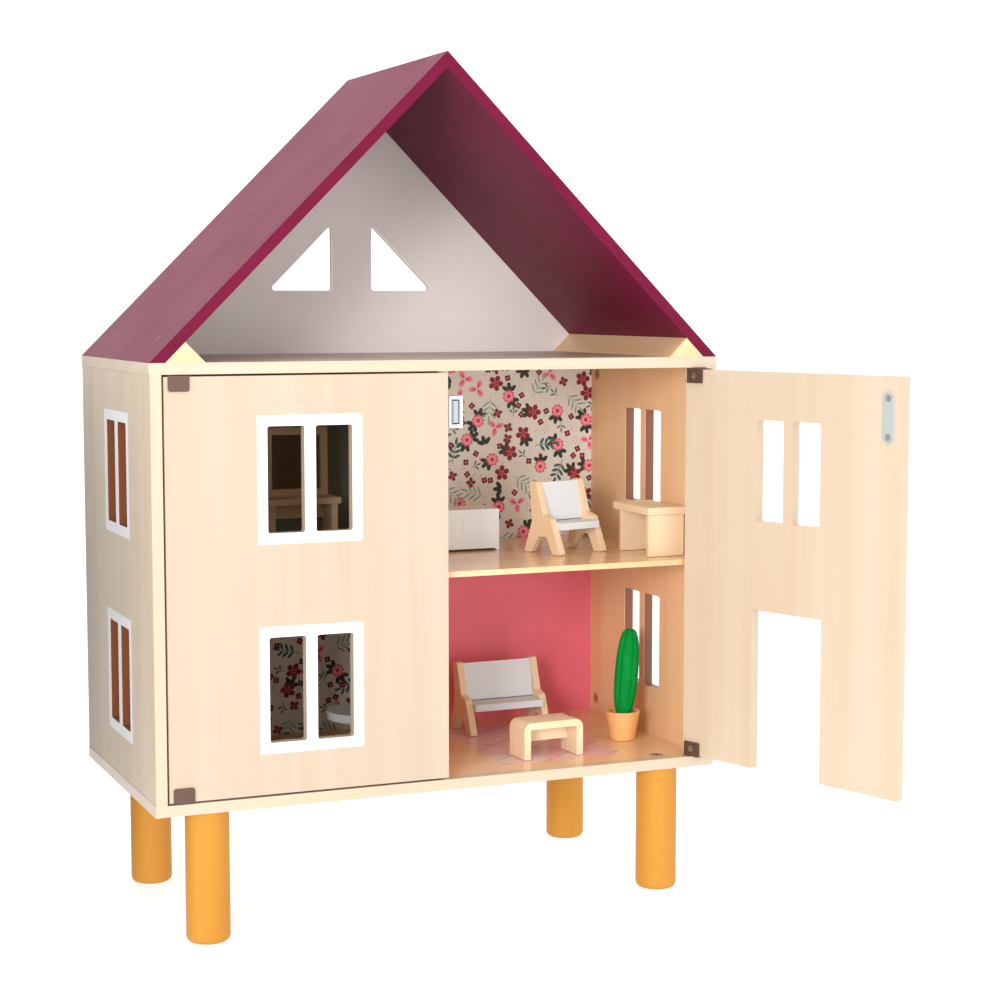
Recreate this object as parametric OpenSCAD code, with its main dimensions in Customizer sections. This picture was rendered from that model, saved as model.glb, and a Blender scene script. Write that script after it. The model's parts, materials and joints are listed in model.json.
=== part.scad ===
// Wooden dollhouse on four round legs: a cabinet with four rooms, an attic under a
// steep roof, two doors on pin hinges and loose plywood furniture.
// Millimetres. X runs to the right, Y from the front to the back, Z up.
// The origin is on the floor, below the middle of the cabinet's front edge.

/* [House] */
// Width over the boards
house_w = 600; // [540:10:760]
// Depth of the boards
house_d = 300; // [250:5:380]
// Clear height between the base board and the attic floor
inner_h = 410; // [350:5:500]
// Thickness of every main board
board_t = 11; // [10:0.1:13.5]
// How far the boards stand out past the side panels
board_overhang = 0.6; // [0:0.1:2]
// Thickness of the middle shelves
shelf_t = 6; // [5:0.5:9]
// Clearance between the doors' swing and the shelves and partition
swing_clearance = 0.5; // [0.3:0.1:6]
// Thickness of the printed back panels
back_t = 5; // [3:0.5:6]
// Distance from the back edge to the back panels
back_inset = 18; // [12:1:25]
// Depth of the grooves that hold shelves and back panels
groove_d = 3; // [2:0.5:3.5]

/* [Roof and attic] */
// Width of an eave cleat on the attic floor
cleat_w = 39; // [32:1:50]
// Width of a triangular gable window, which is also its height
gable_window = 74; // [50:1:90]
// Distance from the middle to a gable window's upright edge
gable_window_gap = 22.5; // [15:0.5:40]
// Height of the gable window sill above the attic floor
gable_sill = 69; // [40:1:80]
// Corner radius of the gable windows
gable_corner_r = 3; // [1:0.5:6]

/* [Windows] */
// Width of one pane opening
pane_w = 37; // [28:1:42]
// Height of one pane opening
pane_h = 103; // [80:1:124]
// Width of the bar between two panes
mullion_w = 11.5; // [8:0.5:16]
// Corner radius of a pane opening
pane_r = 2.5; // [1:0.5:6]
// Height of the upper windows' middle above the shelf
upper_window_rise = 100; // [85:1:105]
// Height of the lower windows' middle above the base board
lower_window_rise = 104; // [85:1:110]
// Distance from the front to the middle of the side windows
side_window_y = 145; // [110:1:190]
// Width of the doorway in the right door
doorway_w = 93; // [70:1:110]
// Height of the doorway
doorway_h = 166; // [140:1:175]

/* [Doors] */
// Gap between a door's hinged edge and the side panel
hinge_gap = 2; // [2:0.25:3.5]
// Gap between the two closed doors
meet_gap = 1.2; // [1:0.2:3]
// Gap above and below a door
door_gap = 2; // [2:0.5:3]
// Distance from the pivot to the door's hinged edge
pivot_in = 8; // [8:0.5:10]
// Distance from the pivot to the door's front face
pivot_back = 5; // [4:0.5:5]
// How far the right door stands open, in degrees
right_door_open = 107; // [0:1:112]
// Diameter of the hinge pins
hinge_pin_d = 5; // [4:0.5:6]
// Radial clearance of a hinge pin in its bush
pin_clearance = 0.05; // [0.02:0.01:0.1]
// Outer diameter of a hinge bush
bush_d = 8; // [7.5:0.5:10]
// Depth of a hinge bush in its board
bush_l = 8; // [6:0.5:8.5]
// Width of a hinge plate
hinge_plate_w = 20.5; // [18:0.5:24]
// Height of a hinge plate
hinge_plate_h = 14; // [12:1:20]

/* [Magnetic catches] */
// Height of the catches' middle below the attic floor board
catch_drop = 41.5; // [35:0.5:60]
// Height of a catch housing
catch_h = 32; // [28:1:40]
// Width of a catch housing
catch_w = 15; // [14:0.5:18]
// Depth of a catch housing
catch_l = 20; // [18:1:26]
// Length of a strike plate
strike_h = 50; // [44:1:60]
// Width of a strike plate
strike_w = 14; // [12:0.5:16]

/* [Legs] */
// Length of a leg
leg_h = 130.5; // [90:0.5:180]
// Diameter of a leg
leg_d = 43; // [34:1:52]
// How far a leg stands in from the side of the base board
leg_side_gap = 34; // [5:0.5:70]
// How far a front leg stands in from the front of the base board
leg_front_gap = 0.5; // [0:0.5:40]
// How far a back leg stands in from the back of the base board
leg_back_gap = 25.5; // [5:0.5:50]
// Radius of the rounded bottom edge
leg_round = 6; // [2:0.5:8]
// Diameter of the leg bolts
leg_bolt_d = 8; // [6:1:10]

/* [Fasteners] */
// Shank diameter of the wood screws
screw_d = 3.2; // [3:0.1:3.5]
// Head diameter of the wood screws
screw_head_d = 7; // [6:0.5:8]
// Diameter of the wooden dowels
dowel_d = 6; // [5:0.5:6]
// Diameter of the cam locks
cam_d = 12; // [10:1:14]

/* [Furniture] */
// Thickness of the plywood chair sides
chair_side_t = 8; // [5:0.5:9]
// Width of an armchair
armchair_w = 68; // [60:1:80]
// Width of the sofa
sofa_w = 98; // [85:1:110]
// How far a loose piece stands above its floor, for clearance
rest_gap = 0.3; // [0.2:0.1:0.5]

/* [Hidden] */
$fn = 64;

// Small overlap that keeps cuts clean
eps = 0.01;

// Heights
base_top = leg_h + board_t;
ceiling_z = base_top + inner_h;
attic_z = ceiling_z + board_t;
shelf_z = base_top + (inner_h - shelf_t) / 2;
shelf_top = shelf_z + shelf_t;
upper_window_z = shelf_top + upper_window_rise;
lower_window_z = base_top + lower_window_rise;

// Plan
half_w = house_w / 2;
side_out = half_w - board_overhang;
side_in = side_out - board_t;
shelf_front = pivot_back + norm([pivot_in, board_t - pivot_back]) + swing_clearance;
back_front = house_d - back_inset - back_t;
part_half = board_t / 2;

// Roof, with both slopes at 45 degrees
ridge_z = attic_z + half_w;
roof_foot = board_t * sqrt(2);
cap_step = board_t / sqrt(2);
roof_in = half_w - roof_foot;
gable_y = house_d - board_t;

// Doors, drawn closed with the pivot on the origin of the plan
door_w = side_in - hinge_gap - meet_gap / 2;
door_h = inner_h - 2 * door_gap;
door_z = base_top + door_gap;
pivot_x = side_in - hinge_gap - pivot_in;
door_free = pivot_in - door_w;
door_mid = pivot_in - door_w / 2;
door_inner = board_t - pivot_back;
hinge_web = 1;
hinge_cap_t = 1.5;
hinge_clamp_t = 3;
hinge_edge = 4;
hinge_screw_x = -6;
pin_l = door_gap - hinge_web + bush_l - 1;

// Catches
catch_z = ceiling_z - catch_drop;
strike_t = 1.2;
pole_front = board_t + strike_t + 0.6;
strike_x = door_free + strike_w / 2 + 9;

// Fasteners
head_t = 2;
wood_grip = 8;
leg_bolt_l = 40;
insert_d = leg_bolt_d + 4;
insert_l = 22;
cam_t = board_t - 2;
cam_rise = 15.5;
cam_ys = [40, back_front - 15];
dowel_ys = [75, house_d - 75];
dowel_in = 8;
dowel_l = 24;
cam_neck = 4;
ridge_screw_ys = [36, house_d - 30];
eave_screw_ys = [52, house_d - 64];
gable_screw_at = [75, 225, 309];
ridge_screw_at = half_w * sqrt(2) - board_t / 2;
eave_screw_at = board_t + cleat_w / sqrt(2) * 0.75;
leg_x = half_w - leg_side_gap - leg_d / 2;
leg_front = leg_front_gap + leg_d / 2;
leg_back = house_d - leg_back_gap - leg_d / 2;
leg_xy = [[-1, leg_front], [1, leg_front], [-1, leg_back], [1, leg_back]];

// Colours
maple = [0.93, 0.84, 0.70];
burgundy = [0.62, 0.16, 0.30];
mustard = [0.93, 0.62, 0.22];
white = [0.95, 0.95, 0.95];
hinge_brown = [0.40, 0.32, 0.28];
steel = [0.75, 0.77, 0.80];
ply = [0.95, 0.80, 0.58];
print_grey = [0.82, 0.76, 0.72];

// ---------- shared shapes ----------

// Rectangle with round corners, centred
module rounded_rect(w, h, r) {
  square([w - 2 * r, h], center = true);
  square([w, h - 2 * r], center = true);
  for (sx = [-1, 1], sy = [-1, 1])
    translate([sx * (w / 2 - r), sy * (h / 2 - r)]) circle(r);
}

// Two panes side by side, centred, cut along Z
module pane_pair(depth) {
  for (side = [-1, 1])
    translate([side * (mullion_w + pane_w) / 2, 0, 0])
      linear_extrude(depth) rounded_rect(pane_w, pane_h, pane_r);
}

// Countersunk wood screw with its head's top at the origin, pointing down
module wood_screw(length) {
  difference() {
    union() {
      translate([0, 0, -head_t]) cylinder(d1 = screw_d, d2 = screw_head_d, h = head_t);
      translate([0, 0, -length]) cylinder(d = screw_d, h = length - head_t + eps);
    }
    for (turn = [0, 90])
      rotate(turn) translate([-1.8, -0.4, -1]) cube([3.6, 0.8, 2]);
  }
}

// The hole that the screw fills, in the board under its head
module screw_hole(length) {
  translate([0, 0, -head_t]) cylinder(d1 = screw_d, d2 = screw_head_d, h = head_t);
  translate([0, 0, -length]) cylinder(d = screw_d, h = length);
  cylinder(d = screw_head_d, h = 1);
}

// Right-hand copy and its mirror image
module both_sides() {
  children();
  mirror([1, 0, 0]) children();
}

// ---------- cabinet ----------

module cam_places() {
  for (y = cam_ys, z = [base_top + cam_rise, ceiling_z - cam_rise])
    translate([side_in, y, z]) children();
}

module dowel_set(x) {
  for (y = dowel_ys, z = [base_top, ceiling_z])
    translate([x, y, z == base_top ? z - dowel_in : z + dowel_in - dowel_l])
      cylinder(d = dowel_d, h = dowel_l);
}

module all_dowels() {
  both_sides() dowel_set(side_in + board_t / 2);
  dowel_set(0);
}

// Steel bolt from a board's edge down into a cam lock, lower and upper alike
module cam_bolt() {
  translate([0, 0, -dowel_in]) cylinder(d = dowel_d, h = dowel_in);
  cylinder(d = cam_neck, h = cam_rise - 1);
  translate([0, 0, cam_rise - 3]) cylinder(d = dowel_d - 0.4, h = 3);
}

module cam_bolt_places() {
  both_sides()
    for (y = cam_ys) {
      translate([side_in + board_t / 2, y, base_top]) children();
      translate([side_in + board_t / 2, y, ceiling_z]) mirror([0, 0, 1]) children();
    }
}

module bush_places() {
  both_sides()
    for (z = [base_top, ceiling_z])
      translate([pivot_x, pivot_back, z]) mirror([0, 0, z == base_top ? 0 : 1]) children();
}

module back_groove() {
  translate([-side_in - groove_d, back_front, base_top - groove_d])
    cube([2 * (side_in + groove_d), back_t, inner_h + 2 * groove_d]);
}

module leg_places() {
  for (place = leg_xy)
    translate([place[0] * leg_x, place[1], 0]) children();
}

module base_board() {
  color(maple)
    difference() {
      translate([-half_w, 0, leg_h]) cube([house_w, house_d, board_t]);
      back_groove();
      all_dowels();
      cam_bolt_places() cam_bolt();
      bush_places() translate([0, 0, -bush_l]) cylinder(d = bush_d, h = bush_l + 1);
      leg_places() leg_bolt_hole();
    }
}

module attic_floor() {
  color(maple)
    difference() {
      translate([-half_w, 0, ceiling_z]) cube([house_w, house_d, board_t]);
      back_groove();
      all_dowels();
      cam_bolt_places() cam_bolt();
      bush_places() translate([0, 0, -bush_l]) cylinder(d = bush_d, h = bush_l + 1);
      cleat_screw_places() screw_hole(board_t + wood_grip);
    }
}

module side_panel() {
  difference() {
    translate([side_in, 0, base_top]) cube([board_t, house_d, inner_h]);
    for (z = [upper_window_z, lower_window_z])
      translate([side_in - 1, side_window_y, z])
        rotate([90, 0, 90]) pane_pair(board_t + 2);
    translate([side_in - 1, shelf_front, shelf_z])
      cube([groove_d + 1, back_front - shelf_front + eps, shelf_t]);
    translate([0, 0, -eps]) back_groove();
    all_dowels();
    cam_bolt_places() cam_bolt();
    cam_places() rotate([0, 90, 0]) translate([0, 0, -1]) cylinder(d = cam_d, h = cam_t + 1);
  }
}

module left_side_panel() {
  color(maple) mirror([1, 0, 0]) side_panel();
}

module right_side_panel() {
  color(maple) side_panel();
}

module partition() {
  color(maple)
    difference() {
      translate([-part_half, shelf_front, base_top])
        cube([board_t, back_front - shelf_front, inner_h]);
      both_sides()
        translate([part_half - groove_d, shelf_front - 1, shelf_z])
          cube([groove_d + 1, back_front - shelf_front + 2, shelf_t]);
      all_dowels();
      both_sides() catch_screw_places() rotate([0, 90, 0]) screw_hole(wood_grip);
    }
}

module room_shelf() {
  translate([part_half - groove_d, shelf_front, shelf_z])
    cube([side_in - part_half + 2 * groove_d, back_front - shelf_front, shelf_t]);
}

module left_shelf() {
  color(maple) mirror([1, 0, 0]) room_shelf();
}

module right_shelf() {
  color(maple) room_shelf();
}

module back_panel() {
  joint_half = 0.3;
  translate([joint_half, back_front, base_top - groove_d])
    cube([side_in + groove_d - joint_half, back_t, inner_h + 2 * groove_d]);
}

module left_back_panel() {
  color(print_grey) mirror([1, 0, 0]) back_panel();
}

module right_back_panel() {
  color(print_grey) back_panel();
}

// ---------- roof ----------

module gable_triangle() {
  offset(r = gable_corner_r) offset(delta = -gable_corner_r)
    polygon([[0, 0], [gable_window, 0], [0, gable_window]]);
}

module gable_panel() {
  color(white)
    difference() {
      translate([0, house_d, attic_z])
        rotate([90, 0, 0])
          linear_extrude(board_t)
            difference() {
              polygon([[-roof_in, 0], [roof_in, 0], [0, roof_in]]);
              both_sides() translate([gable_window_gap, gable_sill]) gable_triangle();
            }
      both_sides() gable_screw_places() screw_hole(board_t + 3 * wood_grip);
    }
}

// Slope frame of the right roof panel: origin at the outer eave, X up the slope,
// Z out of the roof
module on_slope() {
  translate([half_w, 0, attic_z])
    rotate([0, -135, 0]) mirror([0, 0, 1]) children();
}

module ridge_screw_places() {
  on_slope()
    for (y = ridge_screw_ys) translate([ridge_screw_at, y, 0]) children();
}

module eave_screw_places() {
  on_slope()
    for (y = eave_screw_ys) translate([eave_screw_at, y, 0]) children();
}

module gable_screw_places() {
  on_slope()
    for (at = gable_screw_at) translate([at, house_d - board_t / 2, 0]) children();
}

module roof_section(points) {
  translate([0, house_d, attic_z])
    rotate([90, 0, 0]) linear_extrude(house_d) polygon(points);
}

module left_roof_panel() {
  color(burgundy)
    difference() {
      roof_section([[-half_w, 0], [0, half_w], [cap_step, half_w - cap_step], [-roof_in, 0]]);
      mirror([1, 0, 0]) {
        ridge_screw_places() screw_hole(board_t + 1);
        eave_screw_places() screw_hole(board_t + 1);
        gable_screw_places() screw_hole(board_t + 1);
      }
    }
}

module right_roof_panel() {
  color(burgundy)
    difference() {
      roof_section([[half_w, 0], [cap_step, half_w - cap_step], [0, roof_in], [roof_in, 0]]);
      eave_screw_places() screw_hole(board_t + 1);
      gable_screw_places() screw_hole(board_t + 1);
      mirror([1, 0, 0]) ridge_screw_places() screw_hole(board_t + 3 * wood_grip);
    }
}

module eave_cleat() {
  difference() {
    translate([0, gable_y, attic_z])
      rotate([90, 0, 0])
        linear_extrude(gable_y)
          polygon([[roof_in, 0], [roof_in - cleat_w / 2, cleat_w / 2], [roof_in - cleat_w, 0]]);
    eave_screw_places() screw_hole(board_t + wood_grip);
    cleat_screw_places() screw_hole(board_t + wood_grip);
  }
}

module left_eave_cleat() {
  color(ply) mirror([1, 0, 0]) eave_cleat();
}

module right_eave_cleat() {
  color(ply) eave_cleat();
}

module cleat_screw_places() {
  both_sides()
    for (y = [30, house_d / 2, house_d - 30])
      translate([roof_in - cleat_w / 2 - 3, y, ceiling_z]) mirror([0, 0, 1]) children();
}

module cleat_screws() {
  color(steel) cleat_screw_places() wood_screw(board_t + wood_grip);
}

module left_roof_screws() {
  color(burgundy)
    mirror([1, 0, 0]) {
      ridge_screw_places() wood_screw(board_t + 3 * wood_grip);
      eave_screw_places() wood_screw(board_t + wood_grip);
      gable_screw_places() wood_screw(board_t + 3 * wood_grip);
    }
}

module right_roof_screws() {
  color(burgundy) {
    eave_screw_places() wood_screw(board_t + wood_grip);
    gable_screw_places() wood_screw(board_t + 3 * wood_grip);
  }
}

// ---------- legs and hidden fittings ----------

module leg(place) {
  color(mustard)
    translate([place[0] * leg_x, place[1], 0])
      difference() {
        rotate_extrude()
          union() {
            translate([0, leg_round]) square([leg_d / 2, leg_h - leg_round]);
            square([leg_d / 2 - leg_round, leg_h]);
            intersection() {
              translate([leg_d / 2 - leg_round, leg_round]) circle(leg_round);
              square([leg_d, leg_h]);
            }
          }
        translate([0, 0, leg_h - insert_l]) cylinder(d = insert_d, h = insert_l + 1);
        translate([0, 0, base_top - leg_bolt_l]) cylinder(d = leg_bolt_d, h = leg_bolt_l);
      }
}

// Countersunk bolt hole through the base board, with its head flush with the floor
module leg_bolt_hole() {
  translate([0, 0, base_top - leg_bolt_l]) cylinder(d = leg_bolt_d, h = leg_bolt_l + 1);
  translate([0, 0, base_top - 4]) cylinder(d1 = leg_bolt_d, d2 = leg_bolt_d + 7, h = 4 + eps);
}

module leg_bolts() {
  color(steel)
    leg_places()
      difference() {
        union() {
          translate([0, 0, base_top - leg_bolt_l]) cylinder(d = leg_bolt_d, h = leg_bolt_l);
          translate([0, 0, base_top - 4]) cylinder(d1 = leg_bolt_d, d2 = leg_bolt_d + 7, h = 4);
        }
        translate([0, 0, base_top - 3]) cylinder(d = 5, h = 4, $fn = 6);
      }
}

module leg_inserts() {
  color([0.80, 0.68, 0.35])
    leg_places()
      difference() {
        translate([0, 0, leg_h - insert_l]) cylinder(d = insert_d, h = insert_l);
        translate([0, 0, leg_h - insert_l - 1]) cylinder(d = leg_bolt_d, h = insert_l + 2);
      }
}

module panel_dowels() {
  color(ply) all_dowels();
}

module cam_locks() {
  color(hinge_brown)
    both_sides()
      cam_places()
        difference() {
          rotate([0, 90, 0]) cylinder(d = cam_d, h = cam_t);
          translate([board_t / 2, 0, 0])
            for (side = [-1, 1])
              mirror([0, 0, side > 0 ? 0 : 1]) cylinder(d = dowel_d, h = cam_d);
          for (turn = [0, 90])
            rotate([turn, 0, 0]) translate([-1, -3, -0.6]) cube([2.5, 6, 1.2]);
        }
}

module cam_bolts() {
  color(steel) cam_bolt_places() cam_bolt();
}

module hinge_bushes() {
  color(white)
    bush_places()
      translate([0, 0, -bush_l])
        difference() {
          cylinder(d = bush_d, h = bush_l);
          translate([0, 0, 0.8]) cylinder(d = hinge_pin_d + 2 * pin_clearance, h = bush_l);
        }
}

// ---------- magnetic catches ----------

module catch_screw_places() {
  for (z = [-8, 8])
    translate([part_half + 3, pole_front + catch_l + 7, catch_z + z]) children();
}

module catch_housings() {
  pocket = [8.4, catch_l - 6, catch_h - 7];
  color(white)
    both_sides()
      difference() {
        union() {
          translate([part_half, pole_front + 0.7, catch_z - catch_h / 2])
            cube([catch_w, catch_l, catch_h]);
          translate([part_half, pole_front + catch_l, catch_z - catch_h / 2])
            cube([3, 13, catch_h]);
        }
        translate([part_half + (catch_w - pocket[0]) / 2, pole_front, catch_z - pocket[2] / 2])
          cube([pocket[0], pocket[1] + 0.7, pocket[2]]);
        catch_screw_places() rotate([0, 90, 0]) screw_hole(wood_grip);
      }
}

module catch_pole_plates() {
  color(steel)
    both_sides()
      for (side = [-1, 1])
        translate([part_half + catch_w / 2 + side * 3.6 - 0.6, pole_front, catch_z - 12])
          cube([1.2, catch_l - 6, 24]);
}

module catch_magnets() {
  color([0.25, 0.25, 0.27])
    both_sides()
      translate([part_half + catch_w / 2 - 3, pole_front + 2, catch_z - 11])
        cube([6, catch_l - 8, 22]);
}

module catch_screws() {
  color(steel)
    both_sides() catch_screw_places() rotate([0, 90, 0]) wood_screw(wood_grip);
}

// ---------- doors, drawn as the right door, closed, about its pivot ----------

// Screw places on the door's inner face: two in the hinges, two in the strike plate
module hinge_screw_places() {
  for (z = [door_z + hinge_plate_h / 2, door_z + door_h - hinge_plate_h / 2])
    translate([hinge_screw_x, door_inner + hinge_clamp_t, z]) rotate([-90, 0, 0]) children();
}

module strike_screw_places() {
  for (z = [-1, 1])
    translate([strike_x, door_inner + strike_t, catch_z + z * (strike_h / 2 - 6.5)])
      rotate([-90, 0, 0]) children();
}

module door_blank() {
  difference() {
    translate([door_free, -pivot_back, door_z]) cube([door_w, board_t, door_h]);
    translate([door_mid, board_t, upper_window_z]) rotate([90, 0, 0]) pane_pair(2 * board_t);
    hinge_screw_places() screw_hole(hinge_clamp_t + wood_grip - 1);
    strike_screw_places() screw_hole(strike_t + wood_grip - 1);
  }
}

module place_left() {
  translate([-pivot_x, pivot_back, 0]) mirror([1, 0, 0]) children();
}

module place_right() {
  translate([pivot_x, pivot_back, 0]) rotate(right_door_open) children();
}

module left_door_panel() {
  color(maple)
    place_left()
      difference() {
        door_blank();
        translate([door_mid, board_t, lower_window_z])
          rotate([90, 0, 0]) pane_pair(2 * board_t);
      }
}

module right_door_panel() {
  doorway_top = base_top + doorway_h;
  color(maple)
    place_right()
      difference() {
        door_blank();
        translate([door_mid - doorway_w / 2, -board_t, door_z - 1])
          cube([doorway_w, 2 * board_t, doorway_top - door_z + 1]);
      }
}

// Clip round a door's corner with its pin, drawn for the top edge at z = 0
module hinge_clip() {
  plate_x = hinge_edge - hinge_plate_w;
  clip_y = pivot_back + hinge_cap_t;
  difference() {
    union() {
      translate([plate_x + hinge_plate_w / 2, -pivot_back, -(hinge_plate_h - hinge_web) / 2])
        rotate([90, 0, 0])
          linear_extrude(hinge_cap_t) rounded_rect(hinge_plate_w, hinge_plate_h + hinge_web, 2.5);
      translate([plate_x, -clip_y, 0])
        cube([hinge_plate_w, clip_y + door_inner + hinge_clamp_t, hinge_web]);
      translate([plate_x, door_inner, -hinge_plate_h])
        cube([hinge_plate_w, hinge_clamp_t, hinge_plate_h + hinge_web]);
      cylinder(d = hinge_pin_d, h = hinge_web + pin_l);
    }
    translate([hinge_screw_x, door_inner + hinge_clamp_t, -hinge_plate_h / 2])
      rotate([-90, 0, 0]) screw_hole(hinge_clamp_t + 1);
  }
}

module upper_hinge() {
  translate([0, 0, door_z + door_h]) hinge_clip();
}

module lower_hinge() {
  translate([0, 0, door_z]) mirror([0, 0, 1]) hinge_clip();
}

module strike_plate() {
  difference() {
    translate([strike_x, door_inner, catch_z])
      rotate([-90, 0, 0])
        linear_extrude(strike_t) rounded_rect(strike_w, strike_h, strike_w / 2 - eps);
    strike_screw_places() screw_hole(strike_t + 1);
  }
}

module door_screws() {
  hinge_screw_places() wood_screw(hinge_clamp_t + wood_grip - 1);
  strike_screw_places() wood_screw(strike_t + wood_grip - 1);
}

module left_upper_hinge() { color(hinge_brown) place_left() upper_hinge(); }
module left_lower_hinge() { color(hinge_brown) place_left() lower_hinge(); }
module left_strike_plate() { color(steel) place_left() strike_plate(); }
module left_door_screws() { color(steel) place_left() door_screws(); }
module right_upper_hinge() { color(hinge_brown) place_right() upper_hinge(); }
module right_lower_hinge() { color(hinge_brown) place_right() lower_hinge(); }
module right_strike_plate() { color(steel) place_right() strike_plate(); }
module right_door_screws() { color(steel) place_right() door_screws(); }

// ---------- loose furniture ----------

// Outline of a chair side: back foot at the left, front foot at the right
chair_outline = [
  [0, 0], [11, 0], [24, 18], [37, 18], [46, 0], [60, 0],
  [44, 38], [32, 42], [20, 77], [9, 77], [13, 34]
];
chair_d = 60;
chair_seat_top = 34;
chair_seat_t = 7.5;
chair_back_t = 6;

// Chair or sofa standing on z = 0 and facing -Y, centred on its feet
module chair_sides(w) {
  for (x = [-w / 2, w / 2 - chair_side_t])
    translate([x, chair_d / 2, 0])
      rotate([90, 0, 90]) mirror([1, 0, 0])
        linear_extrude(chair_side_t)
          offset(r = 2, $fn = 24) offset(delta = -2) polygon(chair_outline);
}

module chair_boards(w) {
  clear_w = w - 2 * chair_side_t;
  lean = atan2(7, 35);
  translate([-clear_w / 2, chair_d / 2 - 55, chair_seat_top - chair_seat_t])
    cube([clear_w, 36, chair_seat_t]);
  translate([-clear_w / 2, chair_d / 2 - 27.5, chair_seat_top + 1])
    rotate([-lean, 0, 0]) cube([clear_w, chair_back_t, 41.5]);
}

module at_armchair() {
  translate([side_in - 102.7, 125.6, shelf_top + rest_gap]) rotate(17) children();
}

module armchair_sides() { color(ply) at_armchair() chair_sides(armchair_w); }
module armchair_boards() { color(white) at_armchair() chair_boards(armchair_w); }

module at_sofa() {
  translate([side_in - 143.4, back_front - 67, base_top + rest_gap]) rotate(1.5) children();
}

module sofa_sides() { color(ply) at_sofa() chair_sides(sofa_w); }
module sofa_boards() { color(white) at_sofa() chair_boards(sofa_w); }

module at_dining_chair() {
  translate([-side_in + 106, 128, base_top + rest_gap]) rotate(78) children();
}

module dining_chair_sides() { color(ply) at_dining_chair() chair_sides(armchair_w); }
module dining_chair_boards() { color(white) at_dining_chair() chair_boards(armchair_w); }

module sideboard() {
  size = [86, 44, 45];
  color(white)
    translate([part_half + 34, back_front - 109, shelf_top + rest_gap])
      difference() {
        cube(size);
        translate([size[0] / 2 - 0.25, -1, 4]) cube([0.5, 1.5, size[2] - 8]);
        translate([4, -1, -1]) cube([size[0] - 8, size[1] - 4, 3]);
      }
}

desk_size = [45, 84, 52.5];
desk_top_t = 8;

module at_desk() {
  translate([side_in - desk_size[0] - 1, 41, shelf_top + rest_gap]) children();
}

module desk_frame() {
  panel_t = 6;
  frame_h = desk_size[2] - desk_top_t;
  frame_w = desk_size[0] - 3;
  frame_l = 70;
  color(ply)
    at_desk() {
      translate([2, 2, 0]) cube([frame_w, panel_t, frame_h]);
      translate([2, 2 + frame_l - panel_t, 0]) cube([frame_w, panel_t, frame_h]);
      translate([frame_w - 8, 2, 4]) cube([panel_t, frame_l, frame_h - 4]);
    }
}

module desk_top() {
  color(ply)
    at_desk()
      translate([0, 0, desk_size[2] - desk_top_t]) cube([desk_size[0], desk_size[1], desk_top_t]);
}

coffee_size = [69.5, 36, 39];
coffee_t = 7.8;
coffee_corner_r = 9;
coffee_rail = [4, 6, 16.5];

module at_coffee_table() {
  translate([side_in - 151.3, 67.5, base_top + rest_gap]) rotate(3) children();
}

// U-shaped top and legs in one, with round top corners
module coffee_table() {
  w = coffee_size[0];
  h = coffee_size[2];
  color(ply)
    at_coffee_table()
      translate([0, coffee_size[1] / 2, 0])
        rotate([90, 0, 0])
          linear_extrude(coffee_size[1])
            difference() {
              translate([-w / 2, 0]) arch(w, h, coffee_corner_r);
              translate([coffee_t - w / 2, -1])
                arch(w - 2 * coffee_t, h - coffee_t + 1, coffee_corner_r - coffee_t);
            }
}

// Upright rectangle with its two top corners rounded
module arch(w, h, r) {
  square([w, h - r]);
  translate([r, 0]) square([w - 2 * r, h]);
  for (x = [r, w - r])
    translate([x, h - r]) circle(r);
}

// Its top corners follow the round inside corners of the table
module coffee_table_rail() {
  rail_w = coffee_size[0] - 2 * coffee_t;
  rail_back = coffee_rail[0] + coffee_rail[1];
  color(ply)
    at_coffee_table()
      translate([-rail_w / 2, rail_back, coffee_size[2] - coffee_t - coffee_rail[2]])
        rotate([90, 0, 0])
          linear_extrude(coffee_rail[1])
            arch(rail_w, coffee_rail[2], coffee_corner_r - coffee_t);
}

pot_h = 31.5;
pot_top_r = 19.3;
pot_foot_r = 13.8;
cactus_r = 12.8;
cactus_h = 102;
cactus_power = 0.8;

module at_plant() {
  translate([side_in - 41.6, 108, base_top + rest_gap]) children();
}

module plant_pot() {
  color(ply)
    at_plant()
      difference() {
        cylinder(r1 = pot_foot_r, r2 = pot_top_r, h = pot_h);
        translate([0, 0, pot_h - 4]) cylinder(r = pot_top_r - 3.5, h = 5);
        translate([0, 0, pot_h - 14]) cylinder(r = 8, h = 12);
      }
}

// Ellipse outline with its round foot in the pot, leaning to the right
module cactus() {
  lean = 5;
  color([0.0, 0.62, 0.25])
    at_plant()
      translate([0, 0, pot_h - 13.5])
        intersection() {
          rotate([0, lean, 0])
            translate([0, 0, -6])
              rotate_extrude()
                polygon([
                  for (i = [0:24])
                    let (a = -90 + i * 7.5)
                      [cactus_r * pow(cos(a), cactus_power),
                       cactus_h / 2 * (1 + sign(a) * pow(abs(sin(a)), cactus_power)) + 10]
                ]);
          union() {
            cylinder(r = 7.9, h = 12);
            translate([0, 0, 9.8]) cylinder(r = 2 * cactus_r, h = 2 * cactus_h);
          }
        }
}

vanity_size = [82, 40, 62];
vanity_t = 7;

module at_vanity() {
  translate([-130, back_front - 87, shelf_top + rest_gap]) children();
}

module vanity_table() {
  leg_w = 7;
  w = vanity_size[0];
  d = vanity_size[1];
  h = vanity_size[2];
  color(ply)
    at_vanity() {
      translate([0, 0, h - vanity_t]) cube([w, d, vanity_t]);
      for (x = [3, w - 3 - leg_w]) translate([x, 3, 0]) cube([leg_w, d - 6, h - vanity_t + eps]);
      translate([3, d - 9, h - 24]) cube([w - 6, 5, 20]);
    }
}

frame_w = 70;
frame_h = 74;
frame_bar = 8;

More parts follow.
